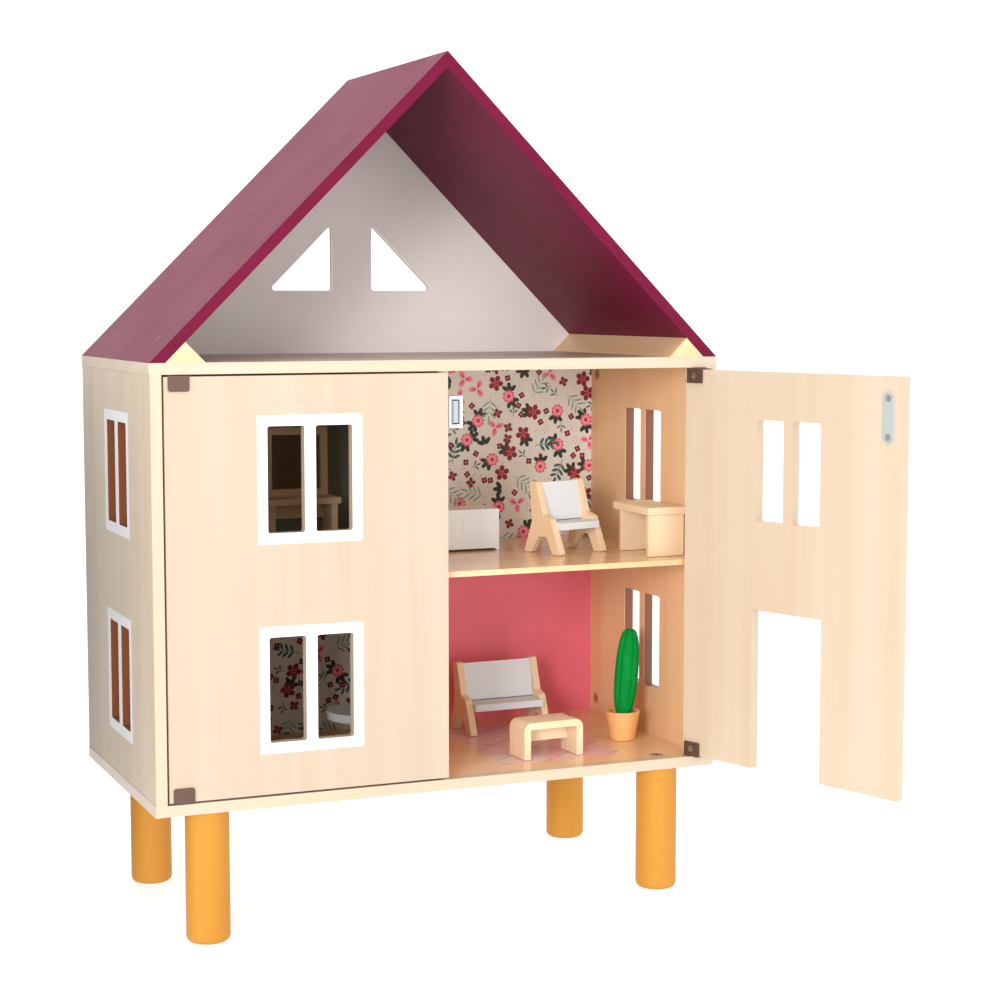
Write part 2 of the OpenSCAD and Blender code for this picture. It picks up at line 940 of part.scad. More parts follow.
module vanity_mirror_frame() {
  color(ply)
    at_vanity()
      translate([vanity_size[0] / 2 - frame_w / 2, vanity_size[1] - 12, vanity_size[2]])
        difference() {
          cube([frame_w, 6, frame_h]);
          translate([frame_bar, -1, frame_bar])
            cube([frame_w - 2 * frame_bar, 8, frame_h - 2 * frame_bar]);
        }
}

module vanity_mirror() {
  color([0.75, 0.82, 0.86])
    at_vanity()
      translate([
        vanity_size[0] / 2 - frame_w / 2 + frame_bar, vanity_size[1] - 10,
        vanity_size[2] + frame_bar
      ])
        cube([frame_w - 2 * frame_bar, 2.5, frame_h - 2 * frame_bar]);
}

round_table_r = 38;
round_table_h = 52;
round_table_t = 9;

module at_round_table() {
  translate([-47, 128, base_top + rest_gap]) children();
}

module round_table_base() {
  color(ply)
    at_round_table() {
      cylinder(r = 20, h = 5);
      cylinder(r = 7, h = round_table_h - round_table_t);
    }
}

module round_table_top() {
  color(white)
    at_round_table()
      translate([0, 0, round_table_h - round_table_t]) cylinder(r = round_table_r, h = round_table_t);
}

// ---------- drawing ----------

base_board();
attic_floor();
left_side_panel();
right_side_panel();
partition();
left_shelf();
right_shelf();
left_back_panel();
right_back_panel();
gable_panel();
left_roof_panel();
right_roof_panel();
left_eave_cleat();
right_eave_cleat();
leg(leg_xy[0]);  // front_left_leg
leg(leg_xy[1]);  // front_right_leg
leg(leg_xy[2]);  // back_left_leg
leg(leg_xy[3]);  // back_right_leg
leg_inserts();
leg_bolts();
panel_dowels();
cam_locks();
cam_bolts();
cleat_screws();
left_roof_screws();
right_roof_screws();
hinge_bushes();
catch_housings();
catch_pole_plates();
catch_magnets();
catch_screws();
left_door_panel();
left_upper_hinge();
left_lower_hinge();
left_strike_plate();
left_door_screws();
right_door_panel();
right_upper_hinge();
right_lower_hinge();
right_strike_plate();
right_door_screws();
sideboard();
armchair_sides();
armchair_boards();
desk_frame();
desk_top();
sofa_sides();
sofa_boards();
coffee_table();
coffee_table_rail();
plant_pot();
cactus();
vanity_table();
vanity_mirror_frame();
vanity_mirror();
dining_chair_sides();
dining_chair_boards();
round_table_base();
round_table_top();
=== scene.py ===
import json
import math
import random

import bmesh
import bpy
from mathutils import Matrix, Vector, geometry

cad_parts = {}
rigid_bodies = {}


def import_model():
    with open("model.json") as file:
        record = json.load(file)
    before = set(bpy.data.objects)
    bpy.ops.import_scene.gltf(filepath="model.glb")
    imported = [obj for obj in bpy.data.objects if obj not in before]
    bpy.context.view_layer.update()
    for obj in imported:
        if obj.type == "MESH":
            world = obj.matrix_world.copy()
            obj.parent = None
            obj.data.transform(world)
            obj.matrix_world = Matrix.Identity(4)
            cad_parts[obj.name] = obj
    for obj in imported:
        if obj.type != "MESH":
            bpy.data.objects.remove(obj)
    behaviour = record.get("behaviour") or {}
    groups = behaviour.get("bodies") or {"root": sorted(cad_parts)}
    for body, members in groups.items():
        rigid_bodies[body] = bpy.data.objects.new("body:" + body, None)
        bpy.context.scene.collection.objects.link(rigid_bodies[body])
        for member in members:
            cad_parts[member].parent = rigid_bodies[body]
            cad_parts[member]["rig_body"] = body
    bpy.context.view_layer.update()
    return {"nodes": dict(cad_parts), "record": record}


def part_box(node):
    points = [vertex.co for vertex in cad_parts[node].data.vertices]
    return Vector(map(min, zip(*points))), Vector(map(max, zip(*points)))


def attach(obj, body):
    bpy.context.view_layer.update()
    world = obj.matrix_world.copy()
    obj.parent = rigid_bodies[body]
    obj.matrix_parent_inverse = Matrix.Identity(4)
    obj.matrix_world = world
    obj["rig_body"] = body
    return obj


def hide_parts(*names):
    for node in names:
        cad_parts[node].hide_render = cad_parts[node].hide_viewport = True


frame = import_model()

nodes = frame["nodes"]
rng = random.Random(11)


# ---------- sizes read from the frame ----------

def middle(node):
    low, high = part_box(node)
    return (low + high) / 2


panel_low, panel_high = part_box("right_side_panel")
door_low, door_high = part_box("left_door_panel")
shelf_low, shelf_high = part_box("right_shelf")
base_low, base_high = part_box("base_board")
wall_low, wall_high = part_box("right_back_panel")
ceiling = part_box("attic_floor")[0].z
hinge = frame["record"]["behaviour"]["joints"][0]
opened = math.radians(-hinge["range_deg"][0])

# Heights of the two rows of windows, and half the width and height of a printed surround
upper_level = shelf_high.z + 0.100
lower_level = base_high.z + 0.104
surround = (0.053, 0.062)
doorway_surround = (0.057, 0.100)
doorway_level = base_high.z + 0.077
left_door_middle = (door_low.x + door_high.x) / 2
side_window = 0.145

# How deep a painted face reaches, and how sharply one finish gives way to another
SKIN = 0.0004
STEP = 0.0002
GRAIN_DEPTH = 0.00003

# ---------- colours and shader graphs ----------

def paint(red, green, blue):
    """A colour given in 0 to 255, as linear light."""
    parts = [value / 255 for value in (red, green, blue)]
    return tuple(v / 12.92 if v <= 0.04045 else ((v + 0.055) / 1.055) ** 2.4 for v in parts) + (1,)


class Wire:
    """A socket that takes part in arithmetic."""

    def __init__(self, graph, socket):
        self.graph = graph
        self.socket = socket

    def math(self, operation, *values):
        return self.graph.add("ShaderNodeMath", {"operation": operation}, dict(enumerate(values)))

    def __add__(self, other):
        return self.math("ADD", self, other)

    def __radd__(self, other):
        return self.math("ADD", other, self)

    def __sub__(self, other):
        return self.math("SUBTRACT", self, other)

    def __rsub__(self, other):
        return self.math("SUBTRACT", other, self)

    def __mul__(self, other):
        return self.math("MULTIPLY", self, other)

    def __rmul__(self, other):
        return self.math("MULTIPLY", other, self)

    def __truediv__(self, other):
        return self.math("DIVIDE", self, other)

    def __abs__(self):
        return self.math("ABSOLUTE", self)

    def part(self):
        """What is left above the whole number."""
        return self.math("FRACT", self)

    def under(self, limit, soft):
        """1 where the value is below the limit, 0 above it, over a soft edge."""
        return self.graph.add(
            "ShaderNodeMapRange",
            {"clamp": True},
            {"Value": self, "From Min": limit - soft / 2, "From Max": limit + soft / 2,
             "To Min": 1.0, "To Max": 0.0},
        )

    def over(self, limit, soft):
        return 1 - self.under(limit, soft)


class Graph:
    """A node tree that is built from Python expressions."""

    def __init__(self, tree):
        self.tree = tree

    def add(self, kind, settings=None, sockets=None, out=0):
        node = self.tree.nodes.new(kind)
        for key, value in (settings or {}).items():
            if key == "stops":
                ramp = node.color_ramp
                while len(ramp.elements) < len(value):
                    ramp.elements.new(0.5)
                for element, (position, colour) in zip(ramp.elements, value):
                    element.position = position
                    element.color = colour
            else:
                setattr(node, key, value)
        for key, value in (sockets or {}).items():
            if isinstance(value, Wire):
                self.tree.links.new(value.socket, node.inputs[key])
            else:
                node.inputs[key].default_value = value
        return Wire(self, node.outputs[out]) if len(node.outputs) else node

    def mix(self, factor, first, second):
        return self.add("ShaderNodeMix", {"data_type": "RGBA"}, {0: factor, 6: first, 7: second}, 2)


class Finish(Graph):
    """A material whose graph starts from object coordinates."""

    def __init__(self, name):
        self.material = bpy.data.materials.new(name)
        self.material.use_nodes = True
        super().__init__(self.material.node_tree)
        self.tree.nodes.clear()
        self.place = self.add("ShaderNodeTexCoord", out="Object")

    def stretch(self, scale, turn=(0, 0, 0), shift=(0, 0, 0)):
        return self.add(
            "ShaderNodeMapping", {},
            {"Vector": self.place, "Location": shift, "Rotation": turn, "Scale": scale},
        )

    def noise(self, vector, scale, detail=4.0, rough=0.55, warp=0.0):
        return self.add(
            "ShaderNodeTexNoise", {},
            {"Vector": vector, "Scale": scale, "Detail": detail, "Roughness": rough, "Distortion": warp},
        )

    def axes(self, vector=None):
        vector = vector or self.place
        split = self.tree.nodes.new("ShaderNodeSeparateXYZ")
        self.tree.links.new(vector.socket, split.inputs[0])
        return [Wire(self, output) for output in split.outputs]

    def surface(self, colour, rough, bump=None, depth=0.00005, **fixed):
        sockets = {"Base Color": colour, "Roughness": rough}
        if bump is not None:
            sockets["Normal"] = self.add(
                "ShaderNodeBump", {}, {"Strength": 1.0, "Distance": depth, "Height": bump}
            )
        for name, value in fixed.items():
            sockets[name.replace("_", " ")] = value
        shader = self.add("ShaderNodeBsdfPrincipled", {}, sockets)
        self.add("ShaderNodeOutputMaterial", {}, {"Surface": shader})
        return self.material


def grain_scale(along, across, length):
    """Mapping scale for a grain that runs along one axis."""
    return [length if axis == along else across for axis in range(3)]


def wood_figure(finish, along, fineness=1.0, turn=(0, 0, 0)):
    """Broad figure and fine pores of a pale wood, both from 0 to 1."""
    stretched = finish.stretch(grain_scale(along, 60 * fineness, 2.4 * fineness), turn)
    broad = finish.noise(stretched, 0.42, 3.0, 0.5, 0.9)
    drawn = finish.stretch(grain_scale(along, 900 * fineness, 22 * fineness), turn)
    return broad, finish.noise(drawn, 1.0, 3.0, 0.6)


# ---------- the finishes of this house ----------

MAPLE_LIGHT = paint(201, 183, 161)
MAPLE_DARK = paint(193, 170, 141)
# Darker copy of the maple, painted shade for the left door; the gable's back reuses it.
SHADED_MAPLE_LIGHT = paint(188, 171, 151)
SHADED_MAPLE_DARK = paint(181, 159, 132)
# Deeper, warmer copies of the maple for the faces inside the rooms: painted shade and warm bounce light.
SHADED_ROOM_LIGHT = paint(230, 192, 148)
SHADED_ROOM_DARK = paint(221, 175, 125)
MAPLE_STREAK = paint(188, 158, 121)
SURROUND_WHITE = paint(226, 226, 229)
# Raw cut-edge brown, darkened further as painted shade inside the window reveals.
RAW_EDGE_AND_SHADE = paint(126, 70, 38)


def maple_colour(finish, along, light=MAPLE_LIGHT, dark=MAPLE_DARK):
    """Pale maple, with painted shade: a deeper, warmer copy of it on the faces that line the rooms."""
    broad, pores = wood_figure(finish, along)
    figure = broad.under(0.62, 0.45)
    x, y, z = finish.axes()
    # Mask of the inner faces of the rooms, which get the painted shade tones.
    room_shade_mask = (abs(x).under(panel_low.x + SKIN, STEP) * y.over(shelf_low.y - 0.001, 0.001)
            * z.over(base_high.z - SKIN, STEP) * z.under(ceiling + SKIN, STEP))
    tone = finish.mix(figure, dark, light)
    tone = finish.mix(room_shade_mask, tone, finish.mix(figure, SHADED_ROOM_DARK, SHADED_ROOM_LIGHT))
    streak = pores.under(0.36, 0.16) * 0.22
    return finish.mix(streak, tone, MAPLE_STREAK), pores


def maple(name, along, shine=0.36, coat=0.12, **tones):
    finish = Finish(name)
    tone, pores = maple_colour(finish, along, **tones)
    return finish.surface(tone, shine + pores * 0.12, pores, GRAIN_DEPTH,
                          Coat_Weight=coat, Coat_Roughness=0.12)


def maple_with_windows(name, along, frames, face, turn=0.0, pivot=(0, 0), reveal=None, **tones):
    """Maple with the white printed surrounds on the outer face, and the cut edges of its windows
    in the reveal colour where one is given, a raw-edge brown with painted shade of the recess.
    frames are (place across, height, half width, half height).
    face is (axis it looks along, where its plane is, 1 or -1 towards the wood).
    turn and pivot lay a panel that stands open back in its closed place."""
    finish = Finish(name)
    tone, pores = maple_colour(finish, along, **tones)
    cos, sin = math.cos(turn), math.sin(turn)
    shift = (pivot[0] - cos * pivot[0] + sin * pivot[1],
             pivot[1] - sin * pivot[0] - cos * pivot[1], 0)
    closed = finish.stretch((1, 1, 1), (0, 0, turn), shift)
    spread = finish.axes(closed)
    axis, plane, towards = face
    across = spread[1 - axis]
    height = spread[2]
    inside = None
    for place, level, half_width, half_height in frames:
        box = (abs(across - place).under(half_width, SKIN)
               * abs(height - level).under(half_height, SKIN))
        inside = box if inside is None else inside.math("MAXIMUM", inside, box)
    outer = ((spread[axis] - plane) * towards).under(SKIN, STEP)
    tone = finish.mix(inside * outer, tone, SURROUND_WHITE)
    # Window reveals: raw-edge brown that also paints their shade.
    if reveal:
        depth = abs(spread[axis])
        cut = (depth.over(panel_low.x + 0.0006, STEP) * depth.under(panel_high.x - 0.0006, STEP)
               * across.over(0.03, 0.001) * across.under(0.26, 0.001))
        tone = finish.mix(cut, tone, reveal)
    return finish.surface(tone, 0.36 + pores * 0.12, pores, GRAIN_DEPTH,
                          Coat_Weight=0.12, Coat_Roughness=0.25)


def floor_with_rug(name, rug):
    """Maple floor with a rug of thin dark diamond lines.
    rug is (low x, low y, high x, high y, top)."""
    finish = Finish(name)
    tone, pores = maple_colour(finish, 0)
    x, y, z = finish.axes()
    low_x, low_y, high_x, high_y, top = rug
    half_x, half_y = (high_x - low_x) / 2, (high_y - low_y) / 2
    inside = (abs(x - (low_x + half_x)).under(half_x, 0.0006)
              * abs(y - (low_y + half_y)).under(half_y, 0.0006) * z.over(top - 0.0003, STEP))
    cell, slope, line, blur = 0.0545, 0.77, 0.013, 0.008
    rising = abs(((y - x * slope + 0.246) / cell).part() - 0.5).under(line, blur)
    falling = abs(((y + x * slope + 0.0845) / cell).part() - 0.5).under(line, blur)
    weave = finish.noise(finish.place, 1400.0, 2.0)
    worn = finish.noise(finish.place, 70.0, 3.0).under(0.62, 0.25)
    pile = finish.mix(weave.under(0.5, 0.3) * 0.35, paint(228, 192, 188), paint(206, 164, 160))
    rug_tone = finish.mix(rising.math("MAXIMUM", rising, falling) * worn * 0.9, pile, paint(92, 46, 44))
    tone = finish.mix(inside, tone, rug_tone)
    return finish.surface(tone, 0.26 + pores * 0.1 + inside * 0.12, pores, GRAIN_DEPTH,
                          Coat_Weight=0.4, Coat_Roughness=0.12)


def roof_lacquer(name, turn):
    """Burgundy stain under gloss lacquer, with the grain down the slope."""
    finish = Finish(name)
    broad, pores = wood_figure(finish, 0, 1.0, (0, turn, 0))
    tone = finish.mix(broad.under(0.55, 0.4), paint(96, 6, 41), paint(107, 9, 49))
    dust = finish.noise(finish.place, 9.0, 4.0)
    return finish.surface(tone, 0.4 + dust * 0.12, pores, 0.00004, Specular_IOR_Level=0.13)


def leg_lacquer(name):
    finish = Finish(name)
    broad, pores = wood_figure(finish, 2, 1.5)
    tone = finish.mix(broad.under(0.5, 0.5), paint(188, 125, 35), paint(194, 136, 47))
    tone = finish.mix(pores.under(0.35, 0.15) * 0.12, tone, paint(161, 93, 21))
    return finish.surface(tone, 0.46 + pores * 0.1, pores, 0.00004, Specular_IOR_Level=0.3)


def plywood(name, ply_axis, along, turn=0.0, plies=0.0016, light=(236, 215, 187), dark=(230, 202, 163),
            layers=0.22):
    """Pale plywood. The thin layers show wherever a cut crosses ply_axis."""
    finish = Finish(name)
    broad, pores = wood_figure(finish, along, 1.6, (0, 0, turn))
    turned = finish.axes(finish.stretch((1, 1, 1), (0, 0, turn)))
    tone = finish.mix(broad.under(0.5, 0.5), paint(*dark), paint(*light))
    tone = finish.mix(pores.under(0.38, 0.14) * 0.25, tone, paint(200, 159, 108))
    layer = (turned[ply_axis] / (plies * 2)).part().under(0.5, 0.25)
    tone = finish.mix(layer * layers, tone, paint(206, 158, 106))
    return finish.surface(tone, 0.5 + pores * 0.12, pores, 0.00005)


def white_paint(name, colour=(217, 223, 228)):
    finish = Finish(name)
    mottle = finish.noise(finish.place, 60.0, 4.0)
    grain = finish.noise(finish.place, 900.0, 2.0)
    tone = finish.mix(mottle * 0.5, paint(*colour), paint(*[c - 9 for c in colour]))
    return finish.surface(tone, 0.42 + mottle * 0.1, grain, 0.00002)


def gable_board(name, plane):
    """Pale grey print on the front face, bare maple behind it."""
    finish = Finish(name)
    tone, pores = maple_colour(finish, 0, SHADED_MAPLE_LIGHT, SHADED_MAPLE_DARK)
    mottle = finish.noise(finish.place, 60.0, 4.0)
    print_tone = finish.mix(mottle * 0.5, paint(242, 236, 233), paint(233, 227, 224))
    behind = finish.axes()[1].over(plane, STEP)
    return finish.surface(finish.mix(behind, print_tone, tone), 0.44 + mottle * 0.1, pores, 0.00002)


def metal(name, colour, rough, metallic=1.0):
    """Metal with faint upright brushing."""
    finish = Finish(name)
    brushed = finish.noise(finish.stretch(grain_scale(2, 4000, 160)), 1.0, 3.0)
    cloud = finish.noise(finish.place, 120.0, 3.0)
    lighter = tuple(min(1.0, c * 1.18) for c in paint(*colour)[:3]) + (1,)
    tone = finish.mix(cloud, paint(*colour), lighter)
    return finish.surface(tone, rough - 0.06 + brushed * 0.16, brushed, 0.00001, Metallic=metallic)


def plastic(name, colour, rough=0.4):
    finish = Finish(name)
    cloud = finish.noise(finish.place, 200.0, 3.0)
    tone = finish.mix(cloud * 0.6, paint(*colour), paint(*[max(0, c - 14) for c in colour]))
    return finish.surface(tone, rough + cloud * 0.08, cloud, 0.00002)


def cactus_paint(name):
    finish = Finish(name)
    cloud = finish.noise(finish.place, 70.0, 4.0)
    tooth = finish.noise(finish.place, 1500.0, 3.0)
    tone = finish.mix(cloud.under(0.5, 0.5), paint(0, 126, 47), paint(0, 141, 57))
    return finish.surface(tone, 0.7 + cloud * 0.1, tooth, 0.00006, Specular_IOR_Level=0.1)


def wall_paper(name):
    """Printed paper whose colour rides on the mesh."""
    finish = Finish(name)
    ink = finish.add("ShaderNodeAttribute", {"attribute_name": "ink"})
    fibre = finish.noise(finish.place, 1200.0, 3.0)
    cloud = finish.noise(finish.place, 30.0, 3.0)
    tone = finish.mix(fibre.under(0.45, 0.3) * 0.04, ink, paint(250, 244, 236))
    tone = finish.mix(cloud.under(0.4, 0.4) * 0.08, tone, paint(90, 60, 60))
    return finish.surface(tone, 0.55 + fibre * 0.1, fibre, 0.00002)


def mirror_glass(name):
    finish = Finish(name)
    haze = finish.noise(finish.place, 40.0, 3.0)
    tone = finish.mix(haze, paint(214, 222, 224), paint(200, 210, 213))
    return finish.surface(tone, 0.03 + haze * 0.03, Metallic=1.0)


# ---------- making pieces ----------

def body_of(node):
    return nodes[node]["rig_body"]


def link(name, mesh, material=None):
    piece = bpy.data.objects.new(name, mesh)
    bpy.context.scene.collection.objects.link(piece)
    if material is not None:
        piece.data.materials.clear()
        piece.data.materials.append(material)
    return piece


def eased(node, material, edge, segments=2, smooth_limit=30):
    """The node's own shape with its sharp edges eased and its own finish."""
    mesh = bpy.data.meshes.new(node + "_piece")
    work = bmesh.new()
    work.from_mesh(nodes[node].data)
    bmesh.ops.remove_doubles(work, verts=work.verts, dist=0.000002)
    bmesh.ops.dissolve_limit(work, angle_limit=math.radians(0.6), verts=work.verts, edges=work.edges)
    for face in work.faces:
        face.smooth = True
        face.material_index = 0
    if not edge:
        for joined in work.edges:
            if len(joined.link_faces) == 2 and joined.calc_face_angle() > math.radians(smooth_limit):
                joined.smooth = False
    work.to_mesh(mesh)
    work.free()
    custom = mesh.attributes.get("custom_normal")
    if custom is not None:
        mesh.attributes.remove(custom)
    piece = link(node + "_piece", mesh, material)
    if edge:
        bevel = piece.modifiers.new("eased_edges", "BEVEL")
        bevel.width = edge
        bevel.segments = segments
        bevel.limit_method = "ANGLE"
        bevel.angle_limit = math.radians(smooth_limit)
        bevel.harden_normals = True
    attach(piece, body_of(node))
    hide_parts(node)
    return piece


def coat(node, material):
    """A finish on the node itself."""
    nodes[node].data.materials.clear()
    nodes[node].data.materials.append(material)


# ---------- camera, lights and floor ----------

def aim(thing, target):
    direction = Vector(target) - thing.location
    thing.rotation_euler = direction.to_track_quat("-Z", "Y").to_euler()


def softbox(name, place, target, width, height, power):
    lamp = bpy.data.lights.new(name, "AREA")
    lamp.shape = "RECTANGLE"
    lamp.size = width
    lamp.size_y = height
    lamp.energy = power
    box = bpy.data.objects.new(name, lamp)
    bpy.context.scene.collection.objects.link(box)
    box.location = place
    aim(box, target)


def stand_camera(place, dip, swing, lens):
    """Camera that dips below level and swings to the right of straight ahead, in radians."""
    data = bpy.data.cameras.new("camera")
    data.lens = lens
    data.sensor_width = 36
    camera = bpy.data.objects.new("camera", data)
    camera.location = place
    camera.rotation_euler = (math.pi / 2 - dip, 0, -swing)
    bpy.context.scene.collection.objects.link(camera)
    bpy.context.scene.camera = camera
    bpy.context.scene.view_settings.view_transform = "Standard"


def light_room(colour, strength):
    """Even light from all round."""
    world = bpy.data.worlds.new("studio")
    world.use_nodes = True
    background = world.node_tree.nodes["Background"]
    background.inputs["Color"].default_value = colour
    background.inputs["Strength"].default_value = strength
    bpy.context.scene.world = world


stand_camera((-0.7646, -1.9279, 0.6211), dip=0.095, swing=0.402, lens=75.57)
light_room((1.0, 0.99, 0.98, 1), 1.18)
softbox("key", (-2.3, -2.7, 1.0), (0, 0.1, 0.45), 1.0, 1.0, 76)
softbox("overhead", (0.4, 0.2, 3.4), (0.2, 0.2, 0), 3.0, 3.0, 47)
softbox("low_fill", (0.9, -3.0, 0.5), (0, 0.1, 0.45), 1.2, 0.8, 12)


def shade_card():
    """Dark card beside the left side that keeps some light off it. The camera doesn't see it."""
    mesh = bpy.data.meshes.new("shade_card")
    corners = [(-0.46, 0.04, 0.0), (-0.52, 0.9, 0.0), (-0.52, 0.9, 0.58), (-0.46, 0.04, 0.58)]
    mesh.from_pydata(corners, [], [(0, 1, 2, 3)])
    card = Finish("shade_card")
    cloud = card.noise(card.place, 3.0, 2.0)
    tone = card.mix(cloud, paint(70, 66, 60), paint(60, 56, 52))
    piece = link("shade_card", mesh, card.surface(tone, 0.9))
    piece.visible_camera = False


shade_card()


def sweep():
    """Pale floor that curves up into a backdrop."""
    flat_end, bend = 2.6, 1.2
    profile = [(-6.0, 0.0), (flat_end, 0.0)]
    for step in range(1, 10):
        angle = math.radians(10 * step)
        profile.append((flat_end + bend * math.sin(angle), bend - bend * math.cos(angle)))
    profile.append((flat_end + bend, 6.0))
    mesh = bpy.data.meshes.new("studio_floor")
    points = [(x, y, z) for x in (-9.0, 9.0) for y, z in profile]
    count = len(profile)
    faces = [(k, count + k, count + k + 1, k + 1) for k in range(count - 1)]
    mesh.from_pydata(points, [], faces)
    for face in mesh.polygons:
        face.use_smooth = True
    floor = Finish("studio_floor")
    cloud = floor.noise(floor.place, 2.0, 2.0)
    tone = floor.mix(cloud, paint(176, 176, 176), paint(172, 172, 173))
    piece = link("studio_floor", mesh, floor.surface(
        tone, 0.6 + cloud * 0.05, Emission_Color=paint(255, 255, 255), Emission_Strength=0.7))


sweep()


# ---------- cabinet ----------

fine_edge = 0.0005
side_frames = [(side_window, level) + surround for level in (upper_level, lower_level)]
eased("left_side_panel", maple_with_windows("maple_left_side", 2, side_frames,
      (0, -panel_high.x, 1), reveal=RAW_EDGE_AND_SHADE), fine_edge)
eased("right_side_panel", maple_with_windows("maple_right_side", 2, side_frames,
      (0, panel_high.x, -1), reveal=RAW_EDGE_AND_SHADE), fine_edge)
long_maple = maple("maple_lengthwise", 0)
upright_maple = maple("maple_upright", 2)
deep_maple = maple("maple_shelves", 0, 0.2, coat=0.5)
eased("attic_floor", long_maple, fine_edge)
rug = (0.077, 0.040, 0.214, wall_low.y - 0.030, base_high.z)
eased("base_board", floor_with_rug("maple_floor", rug), fine_edge)
eased("partition", upright_maple, fine_edge)
for shelf in ("left_shelf", "right_shelf"):
    eased(shelf, deep_maple, fine_edge)

eased("gable_panel", gable_board("gable_board", middle("gable_panel").y), fine_edge)
eased("left_roof_panel", roof_lacquer("burgundy_left_roof", math.radians(45)), fine_edge)
eased("right_roof_panel", roof_lacquer("burgundy_right_roof", math.radians(-45)), fine_edge)
# The attic cleats wear the painted room shade tones.
cleat = maple("maple_cleats", 1, light=SHADED_ROOM_LIGHT, dark=SHADED_ROOM_DARK)
for side in ("left", "right"):
    eased(side + "_eave_cleat", cleat, fine_edge)

legs = leg_lacquer("mustard_lacquer")
for node in ("front_left_leg", "front_right_leg", "back_left_leg", "back_right_leg"):
    eased(node, legs, 0)

# ---------- doors ----------

left_frames = [(left_door_middle, level) + surround for level in (upper_level, lower_level)]
# The left door wears the darker maple copy as painted shade.
eased("left_door_panel", maple_with_windows("maple_left_door", 2, left_frames, (1, 0.0, 1),
      light=SHADED_MAPLE_LIGHT, dark=SHADED_MAPLE_DARK), fine_edge)
right_frames = [(-left_door_middle, upper_level) + surround,
                (-left_door_middle, doorway_level) + doorway_surround]
eased("right_door_panel", maple_with_windows("maple_right_door", 2, right_frames, (1, 0.0, 1),
      -opened, hinge["pos_m"][:2]), fine_edge)

hinge_brown = metal("brown_coated_metal", (92, 70, 60), 0.42, 0.5)
plate_steel = metal("strike_steel", (178, 190, 192), 0.36, 0.6)
screw_steel = metal("screw_steel", (170, 170, 168), 0.3)
for side in ("left", "right"):
    eased(side + "_upper_hinge", hinge_brown, 0.0003)
    eased(side + "_lower_hinge", hinge_brown, 0.0003)
    eased(side + "_strike_plate", plate_steel, 0.00025)
    coat(side + "_door_screws", screw_steel)

# ---------- small fittings ----------

nylon = plastic("white_nylon", (236, 238, 240))
eased("catch_housings", nylon, 0.0004)
coat("hinge_bushes", nylon)
coat("catch_pole_plates", metal("pole_steel", (120, 128, 134), 0.4, 0.6))
coat("catch_magnets", plastic("grey_magnet", (186, 196, 204), 0.5))
for node in ("catch_screws", "leg_bolts", "cam_bolts", "cleat_screws"):
    coat(node, screw_steel)
burgundy_screw = metal("burgundy_screws", (92, 28, 50), 0.4, 0.4)
for side in ("left", "right"):
    coat(side + "_roof_screws", burgundy_screw)
coat("leg_inserts", metal("brass_inserts", (190, 155, 80), 0.35))
coat("cam_locks", metal("cast_zinc", (176, 128, 88), 0.5, 0.4))
coat("panel_dowels", plywood("beech_dowels", 1, 2))

# ---------- furniture ----------

def fluted_cactus(ribs, lean):
    """The cactus with soft ribs that end as bumps round a dented top."""
    piece = eased("cactus", cactus_paint("cactus_green"), 0, smooth_limit=60)
    low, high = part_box("cactus")
    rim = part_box("plant_pot")[1].z
    foot = middle("plant_pot")
    foot.z = low.z
    axis = Vector((math.sin(lean), 0, math.cos(lean)))
    tall = high.z - rim
    for vertex in piece.data.vertices:
        offset = vertex.co - foot
        out = offset - axis * offset.dot(axis)
        groove = (0.5 + 0.5 * math.cos(ribs * math.atan2(out.y, out.x) + 0.9)) ** 6
        body = min(1, max(0, (vertex.co.z - rim) / 0.012))
        crown = min(1, max(0, (vertex.co.z - rim) / tall - 0.72) / 0.25)
        vertex.co -= out * (0.12 * groove * body)
        dent = 0.0046 * math.exp(-(out.length / 0.0040) ** 2)
        vertex.co -= axis * (crown * (dent + 0.32 * groove * out.length))


board_white = white_paint("white_boards")
for seat, turn in (("armchair", 17), ("sofa", 1.5), ("dining_chair", 78)):
    eased(seat + "_sides", plywood("plywood_" + seat, 0, 2, -math.radians(turn)), 0.0006)
    eased(seat + "_boards", board_white, 0.0012, 3)
flat_ply = plywood("plywood_flat", 2, 0)
upright_ply = plywood("plywood_upright", 1, 2, layers=0.1)
bent_ply = plywood("plywood_bent", 1, 0, math.radians(-3), layers=0.04)
eased("sideboard", white_paint("white_sideboard", (234, 240, 242)), 0.0012, 3)
eased("desk_frame", upright_ply, 0.0006)
eased("desk_top", flat_ply, 0.0006)
eased("coffee_table", bent_ply, 0.0007)
eased("coffee_table_rail", bent_ply, 0.0005)
eased("vanity_table", flat_ply, 0.0006)
eased("vanity_mirror_frame", upright_ply, 0.0006)
eased("vanity_mirror", mirror_glass("silvered_glass"), 0)
eased("round_table_base", upright_ply, 0.0005)
eased("round_table_top", white_paint("white_table_top"), 0.001, 3)
turned_wood = plywood("turned_pot", 2, 2, 0, 0.004, (241, 185, 122), (231, 168, 101), 0.1)
eased("plant_pot", turned_wood, 0.0006)
fluted_cactus(5, math.radians(5))

# ---------- printed back walls ----------

